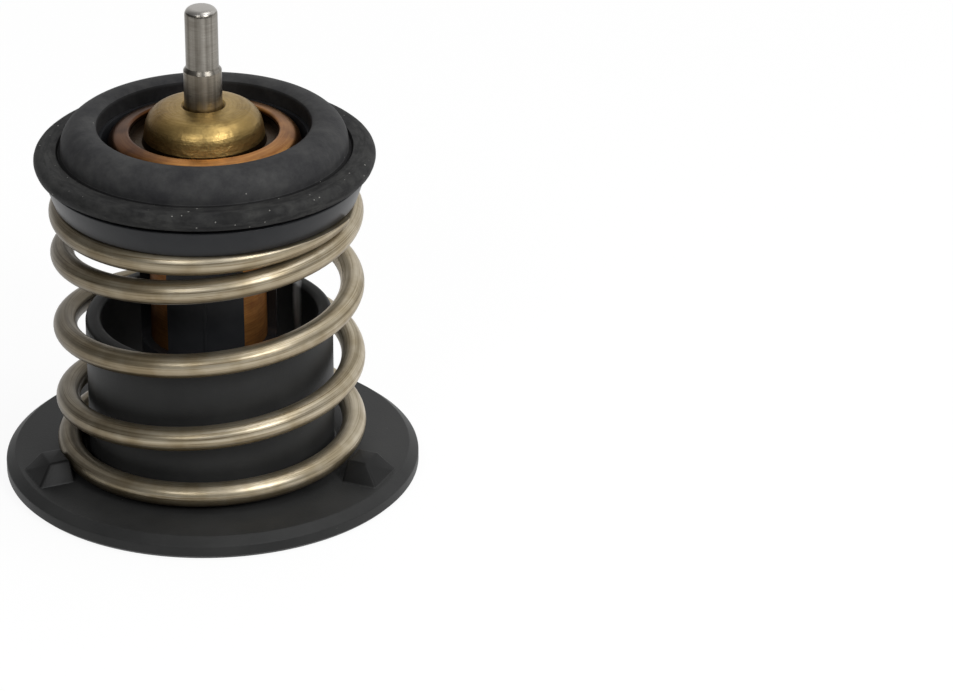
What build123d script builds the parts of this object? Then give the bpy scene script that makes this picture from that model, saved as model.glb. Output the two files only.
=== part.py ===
from build123d import *
import math
import os

# Engine thermostat insert. A moulded base carries a coil spring, and the spring holds up a
# rubber-faced valve with a wax element in its middle. When the wax melts it drives the piston
# out of the element. Millimetres, origin in the middle of the base's underside, +Z up the axis.

# Play and fits
running_gap = 0.05
fit_gap = 0.03
spring_play = 0.3
seat_gap = 0.04

# Base: a flange with a sleeve standing on it
flange_radius = 27.0
flange_thickness = 2.8
flange_top_bevel = 1.2
flange_top_drop = 1.0
flange_foot_bevel = 0.5
sleeve_bore_radius = 14.0
sleeve_wall = 2.0
sleeve_rim_height = 19.2
sleeve_rim_round = 0.7
sleeve_root_round = 0.5

# Lugs round the spring's foot, two at the front and one behind
lug_front_spread = 66.0
lug_height = 2.6
lug_base_width = 6.6
lug_top_width = 3.6
lug_rim_margin = 0.5
lug_end_slope = 2.2
lug_edge_round = 0.25

# Spring: closed at both ends and ground flat on top, with turns counted from its lower end
wire_diameter = 3.1
spring_sleeve_gap = 1.05
spring_height = 35.9
spring_start_angle = 72.0
flat_turns = 0.24
open_turns = 2.56
easing_turns = 0.16
tip_turns = 0.36
resting_pitch = 1.1
tip_thickness = 1.5
closed_gap = 0.06
points_per_turn = 24

# Valve carrier: band over the spring, pocket for the wax element and windowed guide tube
band_overhang = 0.3
band_taper = 1.0
band_height = 4.4
band_foot_bevel = 0.3
pocket_depth = 3.0
pocket_gap = 0.8
web_thickness = 2.2
spigot_depth = 3.0
spigot_wall = 2.2
tube_wall = 1.25
tube_length = 24.2
window_count = 3
window_width = 7.7
window_top_margin = 4.2
window_foot_margin = 2.0
window_corner = 1.0

# Valve seal: rubber crown, a crease and the sealing lip
lip_overhang = 1.57
lip_undercut = 0.5
lip_crest_rise = 1.2
lip_top_rise = 2.1
lip_width = 3.37
lip_round = 1.2
crease_half_width = 0.3
crease_depth = 0.45
crown_rise = 5.75
crown_round = 3.15
crown_thickness = 2.45
hole_margin = 1.25
hole_edge_round = 0.5

# Copper case: a deep cup whose rim is crimped over the guide
case_wall = 0.8
cup_radius = 7.5
cup_foot_round = 1.6
rim_radius = 12.35
rim_height = 3.8
rim_foot_round = 0.7
roll_round = 2.0
crimp_rise = 0.5
crimp_edge_round = 0.35
shoulder_round = 0.4

# Brass guide: a tapered dome with a flange under the crimp
dome_radius = 8.25
dome_taper = 0.75
dome_height = 7.6
dome_round = 2.8
groove_width = 1.25
groove_depth = 0.8
mouth_bevel = 0.35

# Piston, the boot and washer round it and the wax under it
piston_radius = 2.45
tip_radius = 2.1
tip_round = 0.9
step_above_dome = 4.8
step_length = 0.5
tip_above_dome = 13.25
piston_reach = 31.0
nose_length = 5.0
nose_radius = 1.3
boot_share = 0.5
boot_flange = 0.8
washer_wall = 2.0
washer_thickness = 1.0
wax_depth = 3.0

# Radii that follow from the sizes above
flange_top_radius = flange_radius - flange_top_bevel
sleeve_radius = sleeve_bore_radius + sleeve_wall
spring_inner_radius = sleeve_radius + spring_sleeve_gap
coil_radius = spring_inner_radius + wire_diameter / 2
spring_outer_radius = spring_inner_radius + wire_diameter
lug_inner_radius = spring_outer_radius + spring_play
lug_outer_radius = flange_top_radius - lug_rim_margin
band_radius = spring_outer_radius + band_overhang
band_foot_radius = band_radius - band_taper
spigot_radius = spring_inner_radius - spring_play
crest_radius = band_radius + lip_overhang
lip_edge_radius = crest_radius - lip_undercut
crease_radius = crest_radius - lip_width
crown_radius = crease_radius - crease_half_width
crown_middle_radius = crown_radius - crown_round
pocket_radius = rim_radius + pocket_gap
hole_radius = rim_radius + hole_margin
tube_bore_radius = cup_radius + fit_gap
tube_radius = tube_bore_radius + tube_wall
crimp_lip_radius = dome_radius + groove_width
case_inner_rim = rim_radius - case_wall
piston_bore_radius = piston_radius + running_gap
boot_wall = boot_share * (cup_radius - case_wall - piston_bore_radius)
boot_radius = piston_bore_radius + boot_wall
washer_radius = piston_bore_radius + washer_wall

# Heights that follow, stacked from the underside up
sleeve_rim = flange_thickness + sleeve_rim_height
carrier_seat = flange_thickness + spring_height
lip_edge = carrier_seat + band_height
lip_top = lip_edge + lip_top_rise
crown_top = lip_edge + crown_rise
crown_middle = crown_top - crown_round
crown_base = crown_top - crown_thickness
pocket_floor = crown_base - pocket_depth
web_foot = pocket_floor - web_thickness
tube_foot = web_foot - tube_length
spigot_foot = carrier_seat - spigot_depth
rim_edge = pocket_floor + rim_height
crimp_lip = rim_edge + crimp_rise
boot_seat = pocket_floor + case_wall
guide_foot = boot_seat + boot_flange
dome_top = pocket_floor + dome_height
piston_foot = dome_top - piston_reach
nose_top = piston_foot + nose_length
boot_foot = piston_foot - running_gap - boot_wall
wax_foot = boot_foot - fit_gap - wax_depth
cup_foot = wax_foot - case_wall
step_foot = dome_top + step_above_dome
piston_tip = dome_top + tip_above_dome

# The crimp is a shallow cone, so its wall is taller than it is thick
crimp_slope = crimp_rise / (rim_radius - crimp_lip_radius)
crimp_wall_height = case_wall * math.hypot(1, crimp_slope)


# Base flange, sleeve and lugs: one moulding
with BuildPart() as base_flange:
    with BuildSketch(Plane.XZ):
        with BuildLine():
            Polyline(
                (sleeve_bore_radius, 0),
                (flange_radius - flange_foot_bevel, 0),
                (flange_radius, flange_foot_bevel),
                (flange_radius, flange_thickness - flange_top_drop),
                (flange_top_radius, flange_thickness),
                (sleeve_radius, flange_thickness),
                (sleeve_radius, sleeve_rim),
                (sleeve_bore_radius, sleeve_rim),
                close=True,
            )
        make_face()
    revolve(axis=Axis.Z)
    fillet(base_flange.edges().filter_by(GeomType.CIRCLE).group_by(Axis.Z)[-1], sleeve_rim_round)
    flange_top_edges = base_flange.edges().filter_by(GeomType.CIRCLE).filter_by_position(
        Axis.Z, flange_thickness, flange_thickness
    )
    fillet(flange_top_edges.sort_by(SortBy.RADIUS)[0], sleeve_root_round)

# A lug is a wedge with three sloping sides and a hollow side that hugs the spring
with BuildPart() as lug:
    with BuildSketch(Plane.XY.offset(flange_thickness)):
        with Locations((lug_outer_radius / 2, 0)):
            Rectangle(lug_outer_radius, lug_base_width)
    with BuildSketch(Plane.XY.offset(flange_thickness + lug_height)):
        with Locations(((lug_outer_radius - lug_end_slope) / 2, 0)):
            Rectangle(lug_outer_radius - lug_end_slope, lug_top_width)
    loft()
    fillet(lug.edges().group_by(Axis.Z)[-1].sort_by(Axis.X)[1:], lug_edge_round)
    with Locations((0, 0, flange_thickness)):
        Cylinder(
            lug_inner_radius,
            lug_height,
            align=(Align.CENTER, Align.CENTER, Align.MIN),
            mode=Mode.SUBTRACT,
        )

front_angle = -90.0
with base_flange:
    for lug_angle in (front_angle - lug_front_spread, front_angle + lug_front_spread, -front_angle):
        add(lug.part.rotate(Axis.Z, lug_angle))


# Spring: the wire lies flat, climbs to its full pitch, and its last turn is pressed down to rest
# under the valve. At both ends it just clears the turn next to it. The tip climbs over that
# turn and is ground away at the seat, down to its own thickness.
closed_pitch = wire_diameter + closed_gap
spring_foot = flange_thickness + seat_gap
ground_height = carrier_seat - seat_gap
tip_rise = ground_height - tip_thickness - spring_foot
open_rise = tip_rise - closed_pitch
climb_share = (1 - flat_turns) ** 2 / (2 * closed_pitch)
full_pitch = (math.sqrt(open_turns**2 + 2 * climb_share * open_rise) - open_turns) / climb_share
climbing_turns = climb_share * full_pitch
resting_turns = 1 - easing_turns - tip_turns
tip_climb = closed_pitch - easing_turns * (full_pitch + resting_pitch) / 2 - resting_turns * resting_pitch
tip_pitch = 2 * tip_climb / tip_turns - resting_pitch

# Each stretch of the wire: its turns, and the pitch at its two ends
stretches = [
    (flat_turns, 0, 0),
    (climbing_turns, 0, full_pitch),
    (open_turns, full_pitch, full_pitch),
    (easing_turns, full_pitch, resting_pitch),
    (resting_turns, resting_pitch, resting_pitch),
    (tip_turns, resting_pitch, tip_pitch),
]
total_turns = sum(turns for turns, _, _ in stretches)


def wire_height(turn):
    """Height of the wire's centre, the given number of turns from its lower end."""
    height = spring_foot + wire_diameter / 2
    for turns, first_pitch, last_pitch in stretches:
        passed = min(max(turn, 0), turns)
        height += first_pitch * passed + (last_pitch - first_pitch) * passed**2 / (2 * turns)
        turn -= turns
    return height


def wire_point(turn):
    """Point on the wire's centre line."""
    angle = math.radians(spring_start_angle) + 2 * math.pi * turn
    return (coil_radius * math.cos(angle), coil_radius * math.sin(angle), wire_height(turn))


wire_steps = math.ceil(total_turns * points_per_turn)
with BuildPart() as spring:
    with BuildLine() as wire_path:
        Spline([wire_point(total_turns * step / wire_steps) for step in range(wire_steps + 1)])
    with BuildSketch(Plane(origin=wire_path.line @ 0, z_dir=wire_path.line % 0)):
        Circle(wire_diameter / 2)
    sweep(path=wire_path.line, is_frenet=True)
    split(bisect_by=Plane.XY.offset(ground_height), keep=Keep.BOTTOM)


# Valve carrier: one turned section, with windows through the guide tube
with BuildPart() as valve_carrier:
    with BuildSketch(Plane.XZ):
        with BuildLine():
            Polyline(
                (band_foot_radius - band_foot_bevel, carrier_seat),
                (band_foot_radius, carrier_seat + band_foot_bevel),
                (band_radius, lip_edge),
                (crease_radius, lip_edge),
                (hole_radius, crown_base),
                (pocket_radius, crown_base),
                (pocket_radius, pocket_floor),
                (tube_bore_radius + shoulder_round, pocket_floor),
                (tube_bore_radius, pocket_floor - shoulder_round),
                (tube_bore_radius, tube_foot),
                (tube_radius, tube_foot),
                (tube_radius, web_foot),
                (spigot_radius - spigot_wall, web_foot),
                (spigot_radius - spigot_wall, spigot_foot),
                (spigot_radius, spigot_foot),
                (spigot_radius, carrier_seat),
                close=True,
            )
        make_face()
    revolve(axis=Axis.Z)
    window_height = tube_length - window_top_margin - window_foot_margin
    window_middle = tube_foot + window_foot_margin + window_height / 2
    for window in range(window_count):
        window_angle = -front_angle + 360 / window_count * window
        outwards = Vector(1, 0, 0).rotate(Axis.Z, window_angle)
        sideways = Vector(0, 1, 0).rotate(Axis.Z, window_angle)
        with BuildSketch(Plane(origin=(0, 0, window_middle), x_dir=sideways, z_dir=outwards)):
            RectangleRounded(window_width, window_height, window_corner)
        extrude(amount=tube_radius + tube_wall, mode=Mode.SUBTRACT)


# Valve seal: rubber moulded over the carrier's crown
with BuildPart() as valve_seal:
    with BuildSketch(Plane.XZ) as seal_section:
        with BuildLine():
            hole_drop = crown_round - math.sqrt(crown_round**2 - (crown_middle_radius - hole_radius) ** 2)
            hole_wall = Line((hole_radius, crown_base), (hole_radius, crown_top - hole_drop))
            crown_side = (crown_radius, crown_middle)
            ThreePointArc(hole_wall @ 1, (crown_middle_radius, crown_top), crown_side)
            crease_floor = (crease_radius, lip_top - crease_depth)
            lip_shoulder = (crease_radius + crease_half_width, lip_top)
            lip_lean = lip_undercut / lip_crest_rise
            lip_corner = (lip_edge_radius + lip_lean * lip_top_rise, lip_top)
            Polyline(crown_side, (crown_radius, lip_top), crease_floor, lip_shoulder)
            FilletPolyline(lip_shoulder, lip_corner, (lip_edge_radius, lip_edge), radius=lip_round)
            Polyline((lip_edge_radius, lip_edge), (crease_radius, lip_edge), hole_wall @ 0)
        make_face()
        fillet(seal_section.vertices().sort_by(Axis.Y)[-1], hole_edge_round)
    revolve(axis=Axis.Z)


# Copper case: deep-drawn cup with a wide rim folded over the guide
with BuildPart() as copper_case:
    with BuildSketch(Plane.XZ):
        with BuildLine():
            FilletPolyline(
                (0, cup_foot),
                (cup_radius, cup_foot),
                (cup_radius, pocket_floor),
                (rim_radius, pocket_floor),
                (rim_radius, rim_edge),
                (crimp_lip_radius, crimp_lip),
                (crimp_lip_radius, crimp_lip - crimp_wall_height),
                (case_inner_rim, rim_edge + crimp_slope * case_wall - crimp_wall_height),
                (case_inner_rim, boot_seat),
                (cup_radius - case_wall, boot_seat),
                (cup_radius - case_wall, cup_foot + case_wall),
                (0, cup_foot + case_wall),
                radius=[
                    0,
                    cup_foot_round,
                    shoulder_round,
                    rim_foot_round,
                    roll_round,
                    crimp_edge_round,
                    crimp_edge_round,
                    roll_round - case_wall,
                    0,
                    0,
                    cup_foot_round - case_wall,
                    0,
                ],
                close=True,
            )
        make_face()
    revolve(axis=Axis.Z)


# Brass guide: dome, groove and the flange that the crimp holds
guide_flange_radius = case_inner_rim - fit_gap
guide_shoulder = crimp_lip - crimp_wall_height - fit_gap
guide_flange_edge = guide_shoulder - crimp_slope * (guide_flange_radius - crimp_lip_radius)
groove_floor = guide_shoulder - groove_depth
guide_edge_round = roll_round - case_wall - fit_gap
with BuildPart() as brass_guide:
    with BuildSketch(Plane.XZ):
        with BuildLine():
            FilletPolyline(
                (washer_radius + fit_gap, guide_foot),
                (guide_flange_radius, guide_foot),
                (guide_flange_radius, guide_flange_edge),
                (crimp_lip_radius, guide_shoulder),
                (crimp_lip_radius, groove_floor),
                (dome_radius, groove_floor),
                (dome_radius - dome_taper, dome_top),
                (piston_bore_radius + mouth_bevel, dome_top),
                (piston_bore_radius, dome_top - mouth_bevel),
                (piston_bore_radius, guide_foot + washer_thickness),
                (washer_radius + fit_gap, guide_foot + washer_thickness),
                radius=[0, 0, guide_edge_round, 0, 0, 0, dome_round, 0, 0, 0, 0],
                close=True,
            )
        make_face()
    revolve(axis=Axis.Z)


# Backup washer: a ring let into the guide's underside
with BuildPart() as backup_washer:
    with BuildSketch(Plane.XY.offset(guide_foot)):
        Circle(washer_radius)
        Circle(piston_bore_radius, mode=Mode.SUBTRACT)
    extrude(amount=washer_thickness)


# Rubber boot: a closed sleeve round the piston, with a flange clamped under the guide
with BuildPart() as rubber_boot:
    with BuildSketch(Plane.XZ):
        with BuildLine():
            Polyline(
                (0, boot_foot),
                (boot_radius - boot_wall / 2, boot_foot),
                (boot_radius, nose_top),
                (boot_radius, boot_seat),
                (case_inner_rim - fit_gap, boot_seat),
                (case_inner_rim - fit_gap, guide_foot),
                (piston_bore_radius, guide_foot),
                (piston_bore_radius, nose_top),
                (nose_radius + running_gap, piston_foot - running_gap),
                (0, piston_foot - running_gap),
                close=True,
            )
        make_face()
    revolve(axis=Axis.Z)


# Wax charge: fills the cup round the boot
wax_radius = cup_radius - case_wall - fit_gap
with BuildPart() as wax_charge:
    with BuildSketch(Plane.XZ):
        with BuildLine():
            FilletPolyline(
                (0, wax_foot),
                (wax_radius, wax_foot),
                (wax_radius, boot_seat),
                (boot_radius + fit_gap, boot_seat),
                (boot_radius + fit_gap, nose_top),
                (boot_radius + fit_gap - boot_wall / 2, boot_foot - fit_gap),
                (0, boot_foot - fit_gap),
                radius=[0, cup_foot_round - case_wall, 0, 0, 0, 0, 0],
                close=True,
            )
        make_face()
    revolve(axis=Axis.Z)


# Piston: a stepped pin with a rounded tip and a tapered nose inside the boot
with BuildPart() as piston:
    with BuildSketch(Plane.XZ):
        with BuildLine():
            FilletPolyline(
                (0, piston_foot),
                (nose_radius, piston_foot),
                (piston_radius, nose_top),
                (piston_radius, step_foot),
                (tip_radius, step_foot + step_length),
                (tip_radius, piston_tip),
                (0, piston_tip),
                radius=[0, 0, 0, 0, 0, tip_round, 0],
                close=True,
            )
        make_face()
    revolve(axis=Axis.Z)


pieces = {
    "base_flange": base_flange,
    "spring": spring,
    "valve_carrier": valve_carrier,
    "valve_seal": valve_seal,
    "copper_case": copper_case,
    "brass_guide": brass_guide,
    "backup_washer": backup_washer,
    "rubber_boot": rubber_boot,
    "wax_charge": wax_charge,
    "piston": piston,
}

os.makedirs("parts", exist_ok=True)
for name, piece in pieces.items():
    piece.part.label = name
    export_step(piece.part, f"parts/{name}.step")
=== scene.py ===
# %% [markdown]
# # An engine thermostat insert
#
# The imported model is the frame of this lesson: it says where every solid sits and which body
# it moves with. Here each solid that shows is made again with finer edges and its own finish,
# and the new piece then stands for the solid. The solids inside keep their shape and get a
# finish. Sizes are in millimetres and become metres on the mesh.

# %% Load the frame
import math

import bmesh
import bpy
from mathutils import Matrix, Vector


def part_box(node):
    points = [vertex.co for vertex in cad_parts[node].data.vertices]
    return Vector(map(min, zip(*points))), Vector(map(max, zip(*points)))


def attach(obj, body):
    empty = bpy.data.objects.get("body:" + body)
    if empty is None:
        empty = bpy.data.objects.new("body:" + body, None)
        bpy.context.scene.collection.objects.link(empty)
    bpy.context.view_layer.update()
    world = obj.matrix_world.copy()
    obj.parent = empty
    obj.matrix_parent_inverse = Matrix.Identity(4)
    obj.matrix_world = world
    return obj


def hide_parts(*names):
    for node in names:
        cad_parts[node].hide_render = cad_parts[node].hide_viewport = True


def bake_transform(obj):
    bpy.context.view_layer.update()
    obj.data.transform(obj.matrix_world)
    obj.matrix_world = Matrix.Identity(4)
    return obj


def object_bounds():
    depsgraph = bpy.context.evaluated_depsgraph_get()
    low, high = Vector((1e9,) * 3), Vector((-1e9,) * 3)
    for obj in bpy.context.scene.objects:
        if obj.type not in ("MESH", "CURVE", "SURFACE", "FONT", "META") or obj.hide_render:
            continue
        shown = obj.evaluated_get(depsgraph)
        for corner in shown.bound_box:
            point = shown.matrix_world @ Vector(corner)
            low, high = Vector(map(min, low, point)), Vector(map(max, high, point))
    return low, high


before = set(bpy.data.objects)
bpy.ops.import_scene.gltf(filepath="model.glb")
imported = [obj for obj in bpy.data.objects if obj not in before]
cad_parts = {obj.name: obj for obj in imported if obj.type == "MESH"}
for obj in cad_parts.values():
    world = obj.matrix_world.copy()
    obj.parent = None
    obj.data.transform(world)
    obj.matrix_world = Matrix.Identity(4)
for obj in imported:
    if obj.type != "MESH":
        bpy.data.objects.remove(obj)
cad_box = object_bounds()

mm = 0.001
scene = bpy.context.scene
scene.view_settings.view_transform = "Standard"


def in_millimetres(box):
    """Both corners of a box, rounded to a hundredth of a millimetre."""
    return [[round(value / mm, 2) for value in corner] for corner in box]


def node_box(name):
    """Radius, foot and top of a round CAD node, in millimetres."""
    low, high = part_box(name)
    return min(high.x, high.y) / mm, low.z / mm, high.z / mm


print("CAD box:", in_millimetres(cad_box), "mm")

# %% [markdown]
# ## Camera
#
# The picture was taken with a long lens from well back, looking down at it by 26 degrees, with
# the thermostat in the left part of the picture. A shifted lens could put it there too, but a
# camera that simply stands to the right keeps every line as it was.

# %% Camera
camera_place = Vector((34.6, -548.3, 285.0)) * mm
camera_tilt_down = math.radians(26.05)
camera_lens = 177.5

camera = bpy.data.objects.new("camera", bpy.data.cameras.new("camera"))
camera.location = camera_place
camera.rotation_euler = (math.pi / 2 - camera_tilt_down, 0, 0)
camera.data.lens = camera_lens
scene.collection.objects.link(camera)
scene.camera = camera
print("camera at", [round(value, 3) for value in camera_place], "m, lens", camera_lens, "mm")

# %% [markdown]
# ## Nodes by the handful
#
# Materials and Geometry Nodes are both trees of nodes. They could be drawn by hand in the node
# editor, but a script can be read and run again. A few small helpers keep it short: one feeds a
# socket with a number or with another socket, one puts a node down with its settings and inputs,
# and the others each do one step of arithmetic or of colour.

# %% Helpers for node trees
def feed(tree, socket, value):
    """Links an input to the socket that makes its value, or gives it a plain value or colour."""
    if isinstance(value, bpy.types.NodeSocket):
        tree.links.new(value, socket)
    elif socket.type == "RGBA":
        socket.default_value = (*value, 1)
    else:
        socket.default_value = value


def put(tree, kind, inputs=(), **settings):
    """Puts a node down; settings are its properties, and inputs are its sockets' values."""
    made = tree.nodes.new(kind)
    for key, value in settings.items():
        setattr(made, key, value)
    for key, value in dict(inputs).items():
        feed(tree, made.inputs[key], value)
    return made


def calc(tree, operation, *terms):
    """One step of arithmetic on numbers."""
    return put(tree, "ShaderNodeMath", enumerate(terms), operation=operation).outputs[0]


def vector_calc(tree, operation, *terms):
    """One step of arithmetic on vectors, of which a length and a dot product are numbers."""
    step = put(tree, "ShaderNodeVectorMath", enumerate(terms), operation=operation)
    return step.outputs["Value" if operation in ("LENGTH", "DOT_PRODUCT") else "Vector"]


def spread(tree, value, source=(0.0, 1.0), target=(0.0, 1.0)):
    """Carries a value from one range over to another, and stops at the ends."""
    ends = dict(zip(("From Min", "From Max", "To Min", "To Max"), (*source, *target)))
    return put(tree, "ShaderNodeMapRange", {"Value": value, **ends}).outputs["Result"]


def ramp(tree, value, stops):
    """A colour ramp through (place, colour) stops."""
    made = put(tree, "ShaderNodeValToRGB", {"Fac": value})
    elements = made.color_ramp.elements
    while len(elements) < len(stops):
        elements.new(1.0)
    for element, (place, colour) in zip(elements, stops):
        element.position = place
        element.color = (*colour, 1)
    return made.outputs["Color"]


# %% [markdown]
# ## Floor and light
#
# The picture has a plain white ground, so the floor is white, and most of its white is its own
# glow, seen by the camera and in reflections. The rest is a pale grey that the lamps light and
# that keeps the object's soft shadow; were it white, it would light the object's dark side too.
# A sheet this wide also fills the picture when the camera looks from low down.

# %% Floor
floor_half_width = 1.5
floor_glow_share = 0.8
floor_glow = 1.14
floor_colour = (0.55, 0.55, 0.55)


def white_floor():
    """Floor finish: part lit grey, part white glow for what the camera and mirrors see."""
    material = bpy.data.materials.new("white_floor")
    material.use_nodes = True
    tree = material.node_tree
    tree.nodes.clear()
    path = put(tree, "ShaderNodeLightPath").outputs
    seen = calc(tree, "MAXIMUM", path["Is Camera Ray"], path["Is Glossy Ray"])
    seen = calc(tree, "MAXIMUM", seen, path["Is Transmission Ray"])
    share = calc(tree, "MULTIPLY", seen, floor_glow_share)
    lit = put(tree, "ShaderNodeBsdfDiffuse", {"Color": floor_colour})
    glow = put(tree, "ShaderNodeEmission", {"Strength": floor_glow})
    both = put(tree, "ShaderNodeMixShader", {0: share, 1: lit.outputs[0], 2: glow.outputs[0]})
    put(tree, "ShaderNodeOutputMaterial", {"Surface": both.outputs[0]})
    return material


floor_corners = [(-1, -1, 0), (1, -1, 0), (1, 1, 0), (-1, 1, 0)]
floor_points = [Vector(corner) * floor_half_width for corner in floor_corners]
floor_mesh = bpy.data.meshes.new("floor")
floor_mesh.from_pydata(floor_points, [], [(0, 1, 2, 3)])
floor_mesh.materials.append(white_floor())
floor = bpy.data.objects.new("floor", floor_mesh)
scene.collection.objects.link(floor)
print("floor is", 2 * floor_half_width, "m wide")

# %% [markdown]
# Two lamps in front, a third of the way up, make the pair of bright spots on every coil, and two
# wide panels soften the top and the right side. The rest is a room that is dim in front and
# on the left and pale overhead and behind on the right: that is where the sheen on the flange
# comes from. A painted picture of a studio could light the scene too, but a sum of two
# directions says plainly what is bright.

# %% Lamps
lamp_distance = 0.75


def lamp(name, towards, size, power):
    """A square soft lamp that lies in that direction from the object and faces it."""
    made = bpy.data.objects.new(name, bpy.data.lights.new(name, "AREA"))
    made.data.shape = "SQUARE"
    made.data.size = size
    made.data.energy = power
    direction = Vector(towards).normalized()
    aim = Vector((0, 0, cad_box[1].z / 2))
    made.location = aim + direction * lamp_distance
    made.rotation_euler = direction.to_track_quat("Z", "Y").to_euler()
    scene.collection.objects.link(made)
    return made


lamps = [
    lamp("lamp_right", towards=(0.53, -0.63, 0.57), size=0.26, power=2.1),
    lamp("lamp_left", towards=(-0.28, -0.77, 0.57), size=0.18, power=0.85),
    lamp("panel_right", towards=(0.9, 0.25, 0.45), size=0.6, power=0.3),
    lamp("panel_top", towards=(0.4, -0.1, 0.9), size=0.4, power=1.2),
]
print("lamps:", [made.name for made in lamps])

# %% Room
room_level = 0.05
back_right = (0.3, 0.95, 0)
back_right_level = 0.74
overhead = (0, 0, 1)
overhead_level = 0.25


def pale_room():
    """World light that grows towards the back, more on the right, and towards the top."""
    room = bpy.data.worlds.new("room")
    room.use_nodes = True
    tree = room.node_tree
    towards = put(tree, "ShaderNodeTexCoord").outputs["Generated"]
    level = room_level
    for direction, gain in ((back_right, back_right_level), (overhead, overhead_level)):
        facing = calc(tree, "MAXIMUM", vector_calc(tree, "DOT_PRODUCT", towards, direction), 0.0)
        level = calc(tree, "MULTIPLY_ADD", facing, gain, level)
    background = tree.nodes["Background"].inputs
    feed(tree, background["Color"], (1, 1, 1))
    feed(tree, background["Strength"], level)
    return room


scene.world = pale_room()
print("room light:", room_level, "in front,", room_level + back_right_level, "behind on the right")

# %% [markdown]
# ## Turned shapes
#
# All the pieces but the spring are round about one axis, apart from wedges and windows. Blender's
# Screw modifier could turn an outline, but a few lines of mesh code close the poles cleanly and
# give full control of the edges. An outline is a list of corners with the round that each one
# has, and the helper walks round it and lays an arc in each corner.

# %% Outline helper
arc_steps = 7


def rounded(corners, closed=True):
    """Outline points from corners of (radius, height, round), with an arc laid in each round."""
    outline = []
    last = len(corners) - 1
    for index, (radius, height, corner_round) in enumerate(corners):
        corner = Vector((radius, height))
        if corner_round == 0 or (not closed and index in (0, last)):
            outline.append(corner)
            continue
        before = (Vector(corners[index - 1][:2]) - corner).normalized()
        after = (Vector(corners[(index + 1) % len(corners)][:2]) - corner).normalized()
        half_angle = before.angle(after) / 2
        centre = corner + (before + after).normalized() * corner_round / math.sin(half_angle)
        reach = corner_round / math.tan(half_angle)
        first = corner + before * reach - centre
        turn = first.angle_signed(corner + after * reach - centre)
        for step in range(arc_steps + 1):
            spoke = first.copy()
            spoke.rotate(Matrix.Rotation(-turn * step / arc_steps, 2))
            outline.append(centre + spoke)
    return outline


# %% Turning helper
turned_sides = 192
pole_radius = 1e-6
smooth_limit = math.radians(35)


def smooth(mesh):
    """Shades a mesh smooth, except at its sharp edges."""
    mesh.shade_smooth()
    mesh.set_sharp_from_angle(angle=smooth_limit)


def link_piece(name, shape, angle=0.0):
    """Puts a bmesh shape in the scene as a smooth piece, turned about the upright axis."""
    mesh = bpy.data.meshes.new(name)
    shape.to_mesh(mesh)
    shape.free()
    smooth(mesh)
    piece = bpy.data.objects.new(name, mesh)
    piece.rotation_euler.z = angle
    scene.collection.objects.link(piece)
    return piece


def turned(name, outline, closed=True, sides=turned_sides):
    """A solid of revolution about the upright axis, from an outline in millimetres."""
    shape = bmesh.new()
    rings = []
    for radius, height in outline:
        count = 1 if radius < pole_radius else sides
        angles = [2 * math.pi * side / sides for side in range(count)]
        ring = [(radius * math.cos(angle), radius * math.sin(angle), height) for angle in angles]
        rings.append([shape.verts.new(Vector(point) * mm) for point in ring])
    pairs = list(zip(rings, rings[1:]))
    if closed:
        pairs.append((rings[-1], rings[0]))
    for lower, upper in pairs:
        for side in range(sides):
            corners = [lower[side % len(lower)], lower[(side + 1) % sides % len(lower)]]
            corners += [upper[(side + 1) % sides % len(upper)], upper[side % len(upper)]]
            shape.faces.new(list(dict.fromkeys(corners)))
    bmesh.ops.recalc_face_normals(shape, faces=shape.faces)
    return link_piece(name, shape)


# %% [markdown]
# Some pieces are cut or joined afterwards. A modifier does that and stays live in the file, but
# a finished piece should be a plain mesh, so each modifier is made part of the mesh at once.

# %% Cutting and joining helpers
def baked(piece):
    """The piece with its modifiers made part of a plain mesh."""
    bpy.context.view_layer.update()
    mesh = bpy.data.meshes.new_from_object(piece.evaluated_get(bpy.context.evaluated_depsgraph_get()))
    piece.modifiers.clear()
    piece.data = mesh
    smooth(mesh)
    return piece


def cut_or_join(piece, tools, operation):
    """Joins tool shapes to a piece or cuts them from it, and removes the tools."""
    for tool in tools:
        step = piece.modifiers.new("tool", "BOOLEAN")
        step.operation = operation
        step.solver = "EXACT"
        step.object = tool
    baked(piece)
    for tool in tools:
        bpy.data.objects.remove(tool)
    return piece


# %% [markdown]
# ## Finishes
#
# Every finish is a Principled shader whose colour, roughness and bump come from noise. The noise
# reads the object's own coordinates, so it stays put when a part moves; an image would need a UV
# map on every piece. The first helpers start a finish, end it and say where a point lies.

# %% Helpers for finishes: start, end and place
no_tint = (1, 1, 1)


def new_finish(name, metallic=0.0, specular=0.5):
    """A Principled material, its tree and its shader."""
    material = bpy.data.materials.new(name)
    material.use_nodes = True
    shader = material.node_tree.nodes["Principled BSDF"]
    shader.inputs["Metallic"].default_value = metallic
    shader.inputs["Specular IOR Level"].default_value = specular
    return material, material.node_tree, shader


def coat(tree, shader, colour, roughness, height, depth):
    """Gives a shader its colour, its roughness and, from a height, a bump of that depth in millimetres."""
    bump = put(tree, "ShaderNodeBump", {"Height": height, "Distance": depth * mm})
    feed(tree, shader.inputs["Base Color"], colour)
    feed(tree, shader.inputs["Roughness"], roughness)
    feed(tree, shader.inputs["Normal"], bump.outputs["Normal"])


def place_on_piece(tree):
    """Where a point lies on the object, in metres."""
    return put(tree, "ShaderNodeTexCoord").outputs["Object"]


def along(tree, axis):
    """How far along X, Y or Z a point lies, in metres."""
    return put(tree, "ShaderNodeSeparateXYZ", {0: place_on_piece(tree)}).outputs[axis]


def across(tree, radius, axis="X"):
    """Place on a round piece: 0 to 1 from its left edge to its right or, along Y, from front to back."""
    return spread(tree, along(tree, axis), source=(-radius * mm, radius * mm))


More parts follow.
